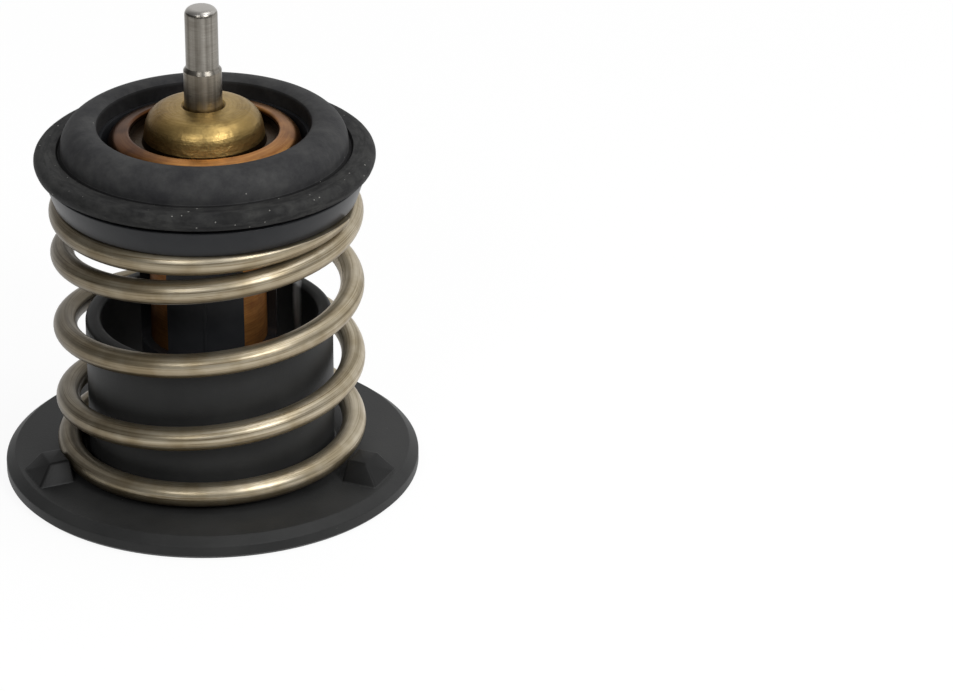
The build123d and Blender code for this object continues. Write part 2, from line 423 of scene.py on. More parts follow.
def level_place(tree):
    """The place of a point with its height left out."""
    return vector_calc(tree, "MULTIPLY", place_on_piece(tree), (1, 1, 0))


def from_axis(tree):
    """Distance from the upright axis, in metres."""
    return vector_calc(tree, "LENGTH", level_place(tree))


def compass(tree):
    """Direction from the upright axis, as a vector of length 1."""
    return vector_calc(tree, "NORMALIZE", level_place(tree))


# %% [markdown]
# The patterns are patches of noise, the fine lines that a lathe leaves, and dust. A line round
# the axis is noise that is short across the radius and height, and long round the axis. Rings
# of a Wave texture would be even, and lines that fade in and out look more like tool marks.

# %% Helpers for finishes: patterns
def noise(tree, place, scale, detail, roughness):
    """Cloudy noise between 0 and 1."""
    sizes = {"Vector": place, "Scale": scale, "Detail": detail, "Roughness": roughness}
    return put(tree, "ShaderNodeTexNoise", sizes).outputs["Fac"]


def patches(tree, size, detail=3.0, roughness=0.55):
    """Noise with patches of about that size in millimetres."""
    return noise(tree, place_on_piece(tree), 1 / (size * mm), detail, roughness)


def lathe_lines(tree, line_width, run):
    """Lines round the axis, of that width in millimetres, that change faster with a larger run."""
    outwards = calc(tree, "ADD", from_axis(tree), along(tree, "Z"))
    outwards = calc(tree, "DIVIDE", outwards, line_width * mm)
    bearing = put(tree, "ShaderNodeSeparateXYZ", {0: compass(tree)}).outputs
    east = calc(tree, "MULTIPLY", bearing["X"], run)
    north = calc(tree, "MULTIPLY", bearing["Y"], run)
    spot = put(tree, "ShaderNodeCombineXYZ", {"X": outwards, "Y": east, "Z": north})
    return noise(tree, spot.outputs["Vector"], scale=1.0, detail=3.0, roughness=0.6)


def specks(tree, spacing, share, size):
    """Sparse round dots: 1 on a dot and 0 elsewhere, with dots in that share of the cells."""
    cells = put(tree, "ShaderNodeTexVoronoi", {"Vector": place_on_piece(tree), "Scale": 1 / (spacing * mm)})
    lot = put(tree, "ShaderNodeSeparateColor", {"Color": cells.outputs["Color"]}).outputs
    chosen = calc(tree, "LESS_THAN", lot["Red"], share)
    reach = calc(tree, "MULTIPLY", lot["Green"], size / spacing)
    near = calc(tree, "LESS_THAN", cells.outputs["Distance"], reach)
    return calc(tree, "MULTIPLY", chosen, near)


# %% Helpers for finishes: layers of colour
def mixed(tree, amount, below, above, blend):
    """Two colours mixed; the Mix node has its colours at 6 and 7 and the mixed one at 2."""
    colours = {0: amount, 6: below, 7: above}
    return put(tree, "ShaderNodeMix", colours, data_type="RGBA", blend_type=blend).outputs[2]


def tinted(tree, colour, tint):
    """One colour multiplied by another."""
    return mixed(tree, 1.0, colour, tint, "MULTIPLY")


def over(tree, mask, below, above):
    """One colour laid over another where the mask is 1."""
    return mixed(tree, mask, below, above, "MIX")


def tinted_where(tree, mask, colour, tint):
    """A colour that has a tint where the mask is 1."""
    return over(tree, mask, colour, tinted(tree, colour, tint))


# %% [markdown]
# ## Base
#
# The base is one black moulding: a flange, a sleeve standing on it and three wedges round the
# spring's foot. The flange and sleeve are turned, and the wedges are joined on with a Boolean,
# because that leaves one clean skin. A wedge is drawn as two rings of points, wide below and
# narrow above, with a hollow inner side that follows the spring.

# %% Base: flange and sleeve
flange_radius, base_foot, sleeve_rim = node_box("base_flange")
flange_top = 2.8
flange_bevel = 1.2
flange_drop = 1.0
flange_foot_bevel = 0.5
sleeve_bore = 14.0
sleeve_radius = 16.0
sleeve_rim_round = 0.7
sleeve_root_round = 0.5
soft_edge = 0.15

flange_corners = [
    (sleeve_bore, base_foot, soft_edge),
    (flange_radius - flange_foot_bevel, base_foot, soft_edge),
    (flange_radius, base_foot + flange_foot_bevel, soft_edge),
    (flange_radius, flange_top - flange_drop, 2 * soft_edge),
    (flange_radius - flange_bevel, flange_top, 2 * soft_edge),
    (sleeve_radius, flange_top, sleeve_root_round),
    (sleeve_radius, sleeve_rim, sleeve_rim_round),
    (sleeve_bore, sleeve_rim, sleeve_rim_round),
]
base = turned("base_moulding", rounded(flange_corners))
print("base:", len(base.data.polygons), "faces before the wedges")

# %% Base: wedges
spring_radius = node_box("spring")[0]
wedge_play = 0.3
wedge_margin = 0.5
wedge_end_slope = 2.2
wedge_height = 2.6
wedge_width_below = 6.6
wedge_width_above = 3.6
wedge_sink = 0.3
wedge_edge = 0.28
wedge_angles = [math.radians(angle) for angle in (-156, -24, 90)]
wedge_inner = spring_radius + wedge_play
wedge_outer = flange_radius - flange_bevel - wedge_margin
inner_steps = 10


def wedge_ring(height, outer, width):
    """Points round a wedge at one height: along the hollow inner side, then the outer end."""
    sides = [width * (step / inner_steps - 0.5) for step in range(inner_steps + 1)]
    ring = [(math.sqrt(wedge_inner**2 - side**2), side, height) for side in sides]
    return ring + [(outer, width / 2, height), (outer, -width / 2, height)]


def wedge(angle):
    """One wedge, turned to its place on the flange."""
    shape = bmesh.new()
    levels = [
        wedge_ring(flange_top - wedge_sink, wedge_outer, wedge_width_below),
        wedge_ring(flange_top + wedge_height, wedge_outer - wedge_end_slope, wedge_width_above),
    ]
    lower, upper = [[shape.verts.new(Vector(point) * mm) for point in level] for level in levels]
    for index in range(len(lower)):
        other = (index + 1) % len(lower)
        shape.faces.new((lower[index], lower[other], upper[other], upper[index]))
    shape.faces.new(upper)
    shape.faces.new(lower)
    bmesh.ops.recalc_face_normals(shape, faces=shape.faces)
    sharp = [edge for edge in shape.edges if edge.calc_face_angle() > smooth_limit]
    sharp = [edge for edge in sharp if max(corner.co.z for corner in edge.verts) > flange_top * mm]
    bmesh.ops.bevel(shape, geom=sharp, offset=wedge_edge * mm, segments=3, profile=0.5, affect="EDGES")
    return link_piece("wedge", shape, angle)


cut_or_join(base, [wedge(angle) for angle in wedge_angles], "UNION")
print("base:", len(base.data.polygons), "faces with the wedges")

# %% [markdown]
# The moulding is satin black, cloudy on a large scale and grainy on a small one. The wedges
# are darker than the flange, which is painted shade, and inside the sleeve a pale upright mark
# is a painted highlight where the bore reflects light. More materials could do both, but their
# borders would follow the faces of the mesh; a mask worked out from the place on the piece can
# lie anywhere and fade.

# %% Base: finish
moulded_dark = (0.023, 0.0235, 0.0235)
moulded_pale = (0.0355, 0.036, 0.0355)
# Painted shade: this tint darkens the wedges as if less light fell on them.
wedge_painted_shade = (0.3, 0.3, 0.3)
base_dust = (0.2, 0.2, 0.19)
# Painted highlight: a pale upright streak where the sleeve's bore would reflect light.
bore_highlight_colour = (0.8, 0.8, 0.8)
bore_highlight_middle = Vector((11.05, 8.6, 19.5)) * mm
bore_highlight_reach = Vector((0.8, 1.6, 6.0)) * mm
bore_highlight_core = 0.4


def moulded_black():
    """Satin black moulding with a fine grain, painted shade on the wedges, a little dust and a painted
    highlight in the bore.
    """
    material, tree, shader = new_finish("moulded_black", specular=0.2)
    cloud = patches(tree, size=7.0)
    colour = ramp(tree, cloud, [(0.3, moulded_dark), (0.7, moulded_pale)])
    raised = calc(tree, "GREATER_THAN", along(tree, "Z"), (flange_top + soft_edge) * mm)
    outside = calc(tree, "GREATER_THAN", from_axis(tree), spring_radius * mm)
    # Painted shade on the wedges.
    colour = tinted_where(tree, calc(tree, "MULTIPLY", raised, outside), colour, wedge_painted_shade)
    colour = over(tree, specks(tree, spacing=1.2, share=0.1, size=0.1), colour, base_dust)
    # Painted highlight inside the sleeve's bore.
    away = vector_calc(tree, "SUBTRACT", place_on_piece(tree), bore_highlight_middle)
    away = vector_calc(tree, "LENGTH", vector_calc(tree, "DIVIDE", away, bore_highlight_reach))
    colour = over(tree, spread(tree, away, source=(1.0, bore_highlight_core)), colour, bore_highlight_colour)
    grain = patches(tree, size=0.25, detail=2.0)
    coat(tree, shader, colour, spread(tree, cloud, target=(0.4, 0.55)), grain, depth=0.016)
    return material


base.data.materials.append(moulded_black())
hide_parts("base_flange")
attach(base, "base")
print("base: finish", base.data.materials[0].name)

# %% [markdown]
# ## Spring
#
# The spring is one drawn wire, closed at both ends and ground flat on top. A Screw modifier
# makes an even coil, but here the pitch changes along the wire: none at first, rising, full,
# nearly none under the valve, and rising again where the tip lies on the turn below it. At both
# ends the wire just clears the turn next to it, so it rises there by one wire and a small gap in
# one turn. The full pitch follows from that, from the height and from the number of open turns.

# %% Spring: the rule of the coil
wire_diameter = 3.1
coil_radius = spring_radius - wire_diameter / 2
spring_foot, spring_top = node_box("spring")[1:]
start_turn = 72 / 360
flat_turns = 0.24
open_turns = 2.56
easing_turns = 0.16
tip_turns = 0.36
resting_pitch = 1.1
tip_thickness = 1.5
coil_gap = 0.06
closed_pitch = wire_diameter + coil_gap

climb_share = (1 - flat_turns) ** 2 / (2 * closed_pitch)
open_rise = spring_top - tip_thickness - spring_foot - closed_pitch
full_pitch = (math.sqrt(open_turns**2 + 2 * climb_share * open_rise) - open_turns) / climb_share
climb_end = flat_turns + climb_share * full_pitch
easing_start = climb_end + open_turns
easing_end = easing_start + easing_turns
total_turns = easing_start + 1
tip_start = total_turns - tip_turns
eased_rise = easing_turns * (full_pitch + resting_pitch) / 2 + resting_pitch * (tip_start - easing_end)
tip_pitch = 2 * (closed_pitch - eased_rise) / tip_turns - resting_pitch
print("spring:", round(total_turns, 2), "turns, full pitch", round(full_pitch, 2), "mm")

# %% [markdown]
# In Geometry Nodes the rule is a field: the pitch at each point is the sum of three ramps, and
# its running total is the height. The points are bent into the coil, and a circle is swept along
# them. Points worked out in Python would do as well, but the tree keeps its sizes as named
# inputs that can be changed in Blender. Each point keeps its turn and its side of the wire for
# the finish.

# %% Spring: inputs of the tree
coil_lengths = ("Coil radius", "Wire radius", "Foot", "Full pitch", "Resting pitch", "Tip pitch")
coil_turns = (
    "Start turn",
    "Total turns",
    "Climb start",
    "Climb end",
    "Easing start",
    "Easing end",
    "Tip start",
)
coil_counts = ("Points", "Section points")


def coil_inputs(tree):
    """Gives the tree its named inputs and its output, and returns the sockets of the inputs."""
    for name in coil_lengths + coil_turns:
        tree.interface.new_socket(name, in_out="INPUT", socket_type="NodeSocketFloat")
    for name in coil_counts:
        tree.interface.new_socket(name, in_out="INPUT", socket_type="NodeSocketInt")
    tree.interface.new_socket("Finish", in_out="INPUT", socket_type="NodeSocketMaterial")
    tree.interface.new_socket("Coil", in_out="OUTPUT", socket_type="NodeSocketGeometry")
    return put(tree, "NodeGroupInput").outputs


def stored(tree, geometry, name, value, data_type):
    """Geometry with one more named attribute on its points."""
    inputs = {"Geometry": geometry, "Name": name, "Value": value}
    return put(tree, "GeometryNodeStoreNamedAttribute", inputs, data_type=data_type).outputs[0]


# %% Spring: the line of the wire
def coil_line(tree, given):
    """Points along the middle of the wire, each with its turn and its height."""
    steps = calc(tree, "SUBTRACT", given["Points"], 1)
    step_turns = calc(tree, "DIVIDE", given["Total turns"], steps)
    turn = calc(tree, "MULTIPLY", put(tree, "GeometryNodeInputIndex").outputs[0], step_turns)
    middle = calc(tree, "MULTIPLY_ADD", step_turns, 0.5, turn)
    eased = calc(tree, "SUBTRACT", given["Resting pitch"], given["Full pitch"])
    tipped = calc(tree, "SUBTRACT", given["Tip pitch"], given["Resting pitch"])
    pitch = 0.0
    for first, last, change in (
        ("Climb start", "Climb end", given["Full pitch"]),
        ("Easing start", "Easing end", eased),
        ("Tip start", "Total turns", tipped),
    ):
        gained = spread(tree, middle, source=(given[first], given[last]), target=(0.0, change))
        pitch = calc(tree, "ADD", gained, pitch)
    rise = calc(tree, "MULTIPLY", pitch, step_turns)
    climbed = put(tree, "GeometryNodeAccumulateField", {0: rise}, data_type="FLOAT").outputs[1]
    height = calc(tree, "ADD", given["Foot"], climbed)

    angle = calc(tree, "MULTIPLY", calc(tree, "ADD", turn, given["Start turn"]), 2 * math.pi)
    east = calc(tree, "MULTIPLY", calc(tree, "COSINE", angle), given["Coil radius"])
    north = calc(tree, "MULTIPLY", calc(tree, "SINE", angle), given["Coil radius"])
    place = put(tree, "ShaderNodeCombineXYZ", {"X": east, "Y": north, "Z": height})
    line = put(tree, "GeometryNodeMeshLine", {"Count": given["Points"]})
    bent = put(tree, "GeometryNodeSetPosition", {"Geometry": line.outputs[0], "Position": place.outputs[0]})
    counted = stored(tree, bent.outputs[0], "wire_turn", turn, "FLOAT")
    return stored(tree, counted, "wire_height", height, "FLOAT")


# %% Spring: the sweep
def swept_wire(tree, given, line):
    """A circle swept along the line; each point knows how far out and up it lies on the wire."""
    path = put(tree, "GeometryNodeMeshToCurve", {"Mesh": line}).outputs[0]
    section = put(tree, "GeometryNodeCurvePrimitiveCircle", {"Resolution": given["Section points"]})
    feed(tree, section.inputs["Radius"], given["Wire radius"])
    curves = {"Curve": path, "Profile Curve": section.outputs[0], "Fill Caps": True}
    swept = put(tree, "GeometryNodeCurveToMesh", curves).outputs[0]

    spot = put(tree, "GeometryNodeInputPosition").outputs[0]
    reach = vector_calc(tree, "LENGTH", vector_calc(tree, "MULTIPLY", spot, (1, 1, 0)))
    outwards = calc(tree, "SUBTRACT", reach, given["Coil radius"])
    middle = put(tree, "GeometryNodeInputNamedAttribute", {"Name": "wire_height"}, data_type="FLOAT")
    height = put(tree, "ShaderNodeSeparateXYZ", {0: spot}).outputs["Z"]
    upwards = calc(tree, "SUBTRACT", height, middle.outputs["Attribute"])
    side = put(tree, "ShaderNodeCombineXYZ")
    feed(tree, side.inputs["X"], calc(tree, "DIVIDE", outwards, given["Wire radius"]))
    feed(tree, side.inputs["Y"], calc(tree, "DIVIDE", upwards, given["Wire radius"]))
    return stored(tree, swept, "wire_side", side.outputs[0], "FLOAT_VECTOR")


def coil_tree():
    """Geometry Nodes tree of a coil whose pitch rises, holds, eases and rises at the tip."""
    tree = bpy.data.node_groups.new("closed_coil", "GeometryNodeTree")
    given = coil_inputs(tree)
    wire = swept_wire(tree, given, coil_line(tree, given))
    whole = put(tree, "GeometryNodeRealizeInstances", {0: wire})
    skin = {"Geometry": whole.outputs[0], "Material": given["Finish"]}
    put(tree, "NodeGroupOutput", {"Coil": put(tree, "GeometryNodeSetMaterial", skin).outputs[0]})
    return tree


# %% [markdown]
# The wire is drawn through a die, which leaves long lines along it. It is champagne-coloured and
# a little dull, and brown in the lines. It is darker below and on the left, which is painted
# shade. The attributes of the sweep carry the lines round the coil. A texture wrapped on UVs would
# do it too, but it would show a seam along the wire.

# %% Spring: finish
wire_brown = (0.33, 0.28, 0.19)
wire_champagne = (0.52, 0.455, 0.34)
wire_bright = (0.66, 0.59, 0.455)
score_tint = (0.55, 0.5, 0.42)
smudge_tint = (0.76, 0.72, 0.64)
# Painted shade: the next four tints darken the wire below and on the left.
underside_painted_shade = (0.5, 0.46, 0.385)
flank_painted_shade = (0.8, 0.77, 0.72)
wire_left_painted_shade = (0.3, 0.285, 0.26)
wire_near_left_painted_shade = (0.8, 0.79, 0.77)
change_per_turn = 0.8


def drawn_wire():
    """Champagne-coloured wire with long dark drawing lines, and painted shade below and on the left."""
    material, tree, shader = new_finish("drawn_wire", metallic=0.86)
    turn = put(tree, "ShaderNodeAttribute", attribute_name="wire_turn").outputs["Fac"]
    side = put(tree, "ShaderNodeAttribute", attribute_name="wire_side").outputs["Vector"]
    sides = put(tree, "ShaderNodeSeparateXYZ", {0: side}).outputs
    run = calc(tree, "MULTIPLY", turn, change_per_turn)
    spot = put(tree, "ShaderNodeCombineXYZ", {"X": sides["X"], "Y": sides["Y"], "Z": run}).outputs["Vector"]
    lines = noise(tree, spot, scale=4.0, detail=5.0, roughness=0.65)
    scores = noise(tree, spot, scale=11.0, detail=2.0, roughness=0.5)
    upwards = spread(tree, sides["Y"], source=(-1.0, 1.0))
    sideways = across(tree, spring_radius)
    colour = ramp(tree, lines, [(0.34, wire_brown), (0.46, wire_champagne), (0.66, wire_bright)])
    # Painted shade below and on the left comes after the lines and smudges.
    for layer in (
        ramp(tree, scores, [(0.33, score_tint), (0.42, no_tint)]),
        ramp(tree, patches(tree, size=4.0), [(0.36, smudge_tint), (0.6, no_tint)]),
        ramp(tree, upwards, [(0.1, underside_painted_shade), (0.42, flank_painted_shade), (0.66, no_tint)]),
        ramp(tree, sideways, [(0.02, wire_left_painted_shade), (0.35, wire_near_left_painted_shade), (0.6, no_tint)]),
    ):
        colour = tinted(tree, colour, layer)
    coat(tree, shader, colour, spread(tree, lines, target=(0.44, 0.32)), lines, depth=0.014)
    return material


# %% Spring: the piece
points_per_turn = 96
section_points = 40
wire_end_round = 0.45
sharp_end = math.radians(60)

spring_sizes = {
    "Coil radius": coil_radius * mm,
    "Wire radius": wire_diameter / 2 * mm,
    "Foot": (spring_foot + wire_diameter / 2) * mm,
    "Full pitch": full_pitch * mm,
    "Resting pitch": resting_pitch * mm,
    "Tip pitch": tip_pitch * mm,
    "Start turn": start_turn,
    "Total turns": total_turns,
    "Climb start": flat_turns,
    "Climb end": climb_end,
    "Easing start": easing_start,
    "Easing end": easing_end,
    "Tip start": tip_start,
    "Points": round(total_turns * points_per_turn),
    "Section points": section_points,
    "Finish": drawn_wire(),
}


def grown(name, tree, inputs):
    """A new object whose mesh a Geometry Nodes tree makes from the inputs."""
    piece = bpy.data.objects.new(name, bpy.data.meshes.new(name))
    scene.collection.objects.link(piece)
    growth = piece.modifiers.new("growth", "NODES")
    growth.node_group = tree
    for socket in tree.interface.items_tree:
        if socket.in_out == "INPUT":
            growth[socket.identifier] = inputs[socket.name]
    return baked(piece)


def round_ends(piece, width):
    """Breaks the sharp edges of a piece with a small bevel."""
    edge = piece.modifiers.new("edge", "BEVEL")
    edge.limit_method = "ANGLE"
    edge.angle_limit = sharp_end
    edge.width = width * mm
    edge.segments = 4
    return baked(piece)


def ground_off(piece, height):
    """Grinds a piece flat at a height: every point above it comes down to it."""
    for corner in piece.data.vertices:
        corner.co.z = min(corner.co.z, height * mm)


spring = round_ends(grown("coil_spring", coil_tree(), spring_sizes), wire_end_round)
ground_off(spring, spring_top)
print("spring:", len(spring.data.polygons), "faces")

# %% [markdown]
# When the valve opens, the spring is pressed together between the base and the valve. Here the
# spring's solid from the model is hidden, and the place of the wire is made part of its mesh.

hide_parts("spring")
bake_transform(spring)

# %% [markdown]
# ## Valve carrier
#
# The carrier is a black moulding under the rubber: a smooth band over the spring, a spigot
# inside it and a long guide tube with three windows round the wax element. The band flares up
# to the lip, and a narrow gap sets it off from the lip as a dark line. A lathe outline gives all
# of that at once, which a stack of joined cylinders would not do as cleanly.

# %% Carrier: turned shape
band_radius, tube_foot, crown_base = node_box("valve_carrier")
lip_edge = node_box("valve_seal")[1]
band_taper = 1.0
band_flare = 0.5
band_foot_round = 0.3
gap_height = 0.75
gap_depth = 1.0
carrier_seat = 38.7
pocket_floor = 43.4
web_foot = 41.2
web_round = 0.5
spigot_foot = 35.7
spigot_radius = 16.75
spigot_wall = 2.2
pocket_radius = 13.15
hole_radius = 13.6
crease_radius = 18.65
tube_bore = 7.53
tube_mouth_round = 0.4
tube_radius = 8.78
spigot_bore = spigot_radius - spigot_wall
gap_radius = band_radius - gap_depth
gap_foot = lip_edge - gap_height
band_lean = (band_flare + band_taper) / (lip_edge - carrier_seat)

carrier_corners = [
    (band_radius - band_taper, carrier_seat, band_foot_round),
    (band_radius + band_flare - gap_height * band_lean, gap_foot, soft_edge),
    (gap_radius, gap_foot, 0),
    (gap_radius, lip_edge, 0),
    (crease_radius, lip_edge, 0),
    (hole_radius, crown_base, 0),
    (pocket_radius, crown_base, 0),
    (pocket_radius, pocket_floor, soft_edge),
    (tube_bore, pocket_floor, tube_mouth_round),
    (tube_bore, tube_foot, soft_edge),
    (tube_radius, tube_foot, 2 * soft_edge),
    (tube_radius, web_foot, web_round),
    (spigot_bore, web_foot, web_round),
    (spigot_bore, spigot_foot, 2 * soft_edge),
    (spigot_radius, spigot_foot, 2 * soft_edge),
    (spigot_radius, carrier_seat, soft_edge),
]
carrier = turned("carrier_moulding", rounded(carrier_corners))
print("carrier:", len(carrier.data.polygons), "faces before the windows")

# %% [markdown]
# The windows of the guide tube are cut with rounded blocks. Such windows are usually made by side
# cores in the mould, which meet in the middle of each leg and leave a thin raised line there. A
# Boolean with a block each is quicker than windows built into the mesh.

# %% Carrier: windows and core lines
window_count = 3
window_width = 7.7
window_ring = 2.0
window_headroom = 4.2
window_corner = 1.0
core_line_width = 0.3
core_line_rise = 0.12
core_line_margin = 0.5


def block(name, low, high, angle, edge_round):
    """A block from its low to its high corner, rounded along its length, turned about the axis."""
    shape = bmesh.new()
    bmesh.ops.create_cube(shape, size=1.0)
    size = Vector(high) - Vector(low)
    for corner in shape.verts:
        corner.co = (Vector(low) + (corner.co + Vector((0.5, 0.5, 0.5))) * size) * mm
    lengthwise = [edge for edge in shape.edges if edge.verts[0].co.x != edge.verts[1].co.x]
    bmesh.ops.bevel(shape, geom=lengthwise, offset=edge_round * mm, segments=5, profile=0.5, affect="EDGES")
    return link_piece(name, shape, angle)


window_angles = [math.radians(90 + 360 / window_count * window) for window in range(window_count)]
leg_angles = [angle + math.pi / window_count for angle in window_angles]
window_low = (0, -window_width / 2, tube_foot + window_ring)
window_high = (2 * tube_radius, window_width / 2, web_foot - window_headroom)
line_low = (tube_radius - core_line_rise, -core_line_width / 2, tube_foot + core_line_margin)
line_high = (tube_radius + core_line_rise, core_line_width / 2, web_foot - core_line_margin)
windows = [block("window", window_low, window_high, angle, window_corner) for angle in window_angles]
core_lines = [block("core_line", line_low, line_high, angle, core_line_rise / 2) for angle in leg_angles]
cut_or_join(carrier, windows, "DIFFERENCE")
cut_or_join(carrier, core_lines, "UNION")
print("carrier:", len(carrier.data.polygons), "faces with windows")

# %% [markdown]
# The carrier's plastic is smoother and bluer than the base's. It could share the base's finish,
# but beside the rubber the difference shows, so it gets a finish of its own.

# %% Carrier: finish
carrier_dark = (0.019, 0.02, 0.0225)
carrier_pale = (0.028, 0.029, 0.0315)


def smooth_black():
    """Bluish-black moulding, smoother than the base and faintly cloudy."""
    material, tree, shader = new_finish("smooth_black", specular=0.22)
    cloud = patches(tree, size=4.0)
    colour = ramp(tree, cloud, [(0.3, carrier_dark), (0.7, carrier_pale)])
    grain = patches(tree, size=0.4, detail=2.0)
    coat(tree, shader, colour, spread(tree, cloud, target=(0.28, 0.4)), grain, depth=0.008)
    return material


carrier.data.materials.append(smooth_black())
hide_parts("valve_carrier")
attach(carrier, "valve")
print("carrier: finish", carrier.data.materials[0].name)

# %% [markdown]
# ## Rubber seal
#
# The seal is matt black rubber, moulded over the carrier: a plump crown round the hole, a narrow
# crease and the sealing lip. A curve with handles could draw the section, but the crown is a
# plain arc, so the outline is that arc and a few rounded corners, turned about the axis.

# %% Seal: turned shape
crown_top = node_box("valve_seal")[2]
crown_round = 3.15
hole_edge_round = 0.5
lip_edge_radius = 21.52
lip_rise = 2.1
lip_lean = 5 / 12
lip_round = 1.2
crease_half_width = 0.3
crease_depth = 0.45
crease_edge = 0.1
crown_steps = 24

lip_top = lip_edge + lip_rise
crown_radius = crease_radius - crease_half_width
crown_middle = Vector((crown_radius - crown_round, crown_top - crown_round))
hole_angle = math.acos((hole_radius - crown_middle.x) / crown_round)
crown_angles = [hole_angle * (1 - step / crown_steps) for step in range(crown_steps + 1)]
crown_arc = [crown_middle + crown_round * Vector((math.cos(a), math.sin(a))) for a in crown_angles]

seal_corners = [
    (hole_radius, crown_base, 0),
    (*crown_arc[0], hole_edge_round),
    *[(*point, 0) for point in crown_arc[2:]],
    (crown_radius, lip_top, crease_edge),
    (crease_radius, lip_top - crease_depth, crease_edge),
    (crease_radius + crease_half_width, lip_top, crease_edge),
    (lip_edge_radius + lip_lean * lip_rise, lip_top, lip_round),
    (lip_edge_radius, lip_edge, soft_edge),
    (crease_radius, lip_edge, 0),
]
seal = turned("rubber_seal", rounded(seal_corners))
print("seal:", len(seal.data.polygons), "faces")

# %% [markdown]
# The rubber is duller than the plastic beside it, so its sheen is weaker and its colour paler. The
# lip is streaked round and dusty, and painted shade makes the crease and the wall of the hole
# nearly black. Three materials could do that, but masks by the distance from the axis need no
# seams in the mesh.

# %% Seal: finish
rubber_dark = (0.042, 0.042, 0.044)
rubber_pale = (0.074, 0.074, 0.073)
skin_tint = (0.74, 0.74, 0.76)
lip_dark_tint = (0.52, 0.52, 0.51)
lip_pale_tint = (0.84, 0.84, 0.81)
# Painted shade: the next two tints darken the wall of the hole and the crease.
hole_painted_shade = (0.45, 0.45, 0.45)
crease_painted_shade = (0.3, 0.3, 0.3)
seal_dust = (0.26, 0.255, 0.24)
crease_dark_share = 0.9
crease_reach = crease_dark_share * crease_half_width


def matt_rubber():
    """Matt black rubber with a fine skin, a streaked lip, painted shade in the hole and crease, and pale
    dust.
    """
    material, tree, shader = new_finish("matt_rubber", specular=0.07)
    radius = from_axis(tree)
    on_lip = calc(tree, "GREATER_THAN", radius, crease_radius * mm)
    in_hole = calc(tree, "LESS_THAN", radius, (hole_radius + soft_edge) * mm)
    from_crease = calc(tree, "ABSOLUTE", calc(tree, "SUBTRACT", radius, crease_radius * mm))
    in_crease = calc(tree, "LESS_THAN", from_crease, crease_reach * mm)
    cloud = patches(tree, size=5.0, detail=4.0)
    skin = patches(tree, size=1.2, detail=5.0, roughness=0.7)
    streaked = lathe_lines(tree, line_width=0.5, run=8.0)
    colour = ramp(tree, cloud, [(0.3, rubber_dark), (0.7, rubber_pale)])
    colour = tinted(tree, colour, ramp(tree, skin, [(0.35, skin_tint), (0.65, no_tint)]))
    # Painted shade in the hole and the crease; the lip's streaks are its own.
    for mask, tint in (
        (on_lip, ramp(tree, streaked, [(0.38, lip_dark_tint), (0.6, lip_pale_tint)])),
        (in_hole, hole_painted_shade),
        (in_crease, crease_painted_shade),
    ):
        colour = tinted_where(tree, mask, colour, tint)
    lip_dust = calc(tree, "MULTIPLY", on_lip, specks(tree, spacing=0.6, share=0.2, size=0.13))
    dust = calc(tree, "MAXIMUM", lip_dust, specks(tree, spacing=1.0, share=0.08, size=0.14))
    colour = over(tree, dust, colour, seal_dust)
    grain = patches(tree, size=0.3, detail=4.0)
    coat(tree, shader, colour, spread(tree, cloud, target=(0.5, 0.66)), grain, depth=0.02)
    return material


seal.data.materials.append(matt_rubber())
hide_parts("valve_seal")
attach(seal, "valve")
print("seal: finish", seal.data.materials[0].name)

# %% [markdown]
# ## Copper case
#
# The case of the wax element is drawn from sheet copper to a deep cup, and its rim is rolled
# over the guide. A Solidify modifier could give a skin its wall, but an outline that runs round
# both sides of the sheet also rounds the edge of its lip.

# %% Copper case: turned shape
rim_radius, cup_foot = node_box("copper_case")[:2]
case_wall = 0.8
cup_radius = 7.5
cup_foot_round = 1.6
shoulder_round = 0.4
rim_foot_round = 0.7
roll_round = 1.7
crimp_edge_round = 0.35
rim_edge = 47.2
crimp_lip = 47.7
crimp_lip_radius = 9.5
boot_seat = pocket_floor + case_wall
crimp_slope = (crimp_lip - rim_edge) / (rim_radius - crimp_lip_radius)
crimp_wall = case_wall * math.hypot(1, crimp_slope)

case_corners = [
    (0, cup_foot, 0),
    (cup_radius, cup_foot, cup_foot_round),
    (cup_radius, pocket_floor, shoulder_round),
    (rim_radius, pocket_floor, rim_foot_round),
    (rim_radius, rim_edge, roll_round),
    (crimp_lip_radius, crimp_lip, crimp_edge_round),
    (crimp_lip_radius, crimp_lip - crimp_wall, crimp_edge_round),
    (rim_radius - case_wall, rim_edge + crimp_slope * case_wall - crimp_wall, roll_round - case_wall),
    (rim_radius - case_wall, boot_seat, 0),
    (cup_radius - case_wall, boot_seat, 0),
    (cup_radius - case_wall, cup_foot + case_wall, cup_foot_round - case_wall),
    (0, cup_foot + case_wall, 0),
]
case = turned("copper_cup", rounded(case_corners, closed=False), closed=False)
print("case:", len(case.data.polygons), "faces")

# %% [markdown]
# The copper has fine rings that catch the light, and brown tarnish in patches. It is darker at
# the left, the right and the back, which is painted shade. The cup below the rim is duller. It
# could have a material of its own, but in one finish the rings run on from the rim to the cup.

# %% Copper case: finish
copper_dark = (0.72, 0.305, 0.09)
copper_bright = (0.97, 0.48, 0.15)
tarnish_colour = (0.3, 0.13, 0.06)
# Painted shade: the next three tints darken the copper at the left, the right and the back.
copper_left_painted_shade = (0.13, 0.105, 0.09)
copper_right_painted_shade = (0.33, 0.31, 0.3)
copper_back_painted_shade = (0.55, 0.57, 0.6)
cup_dullness = 0.3


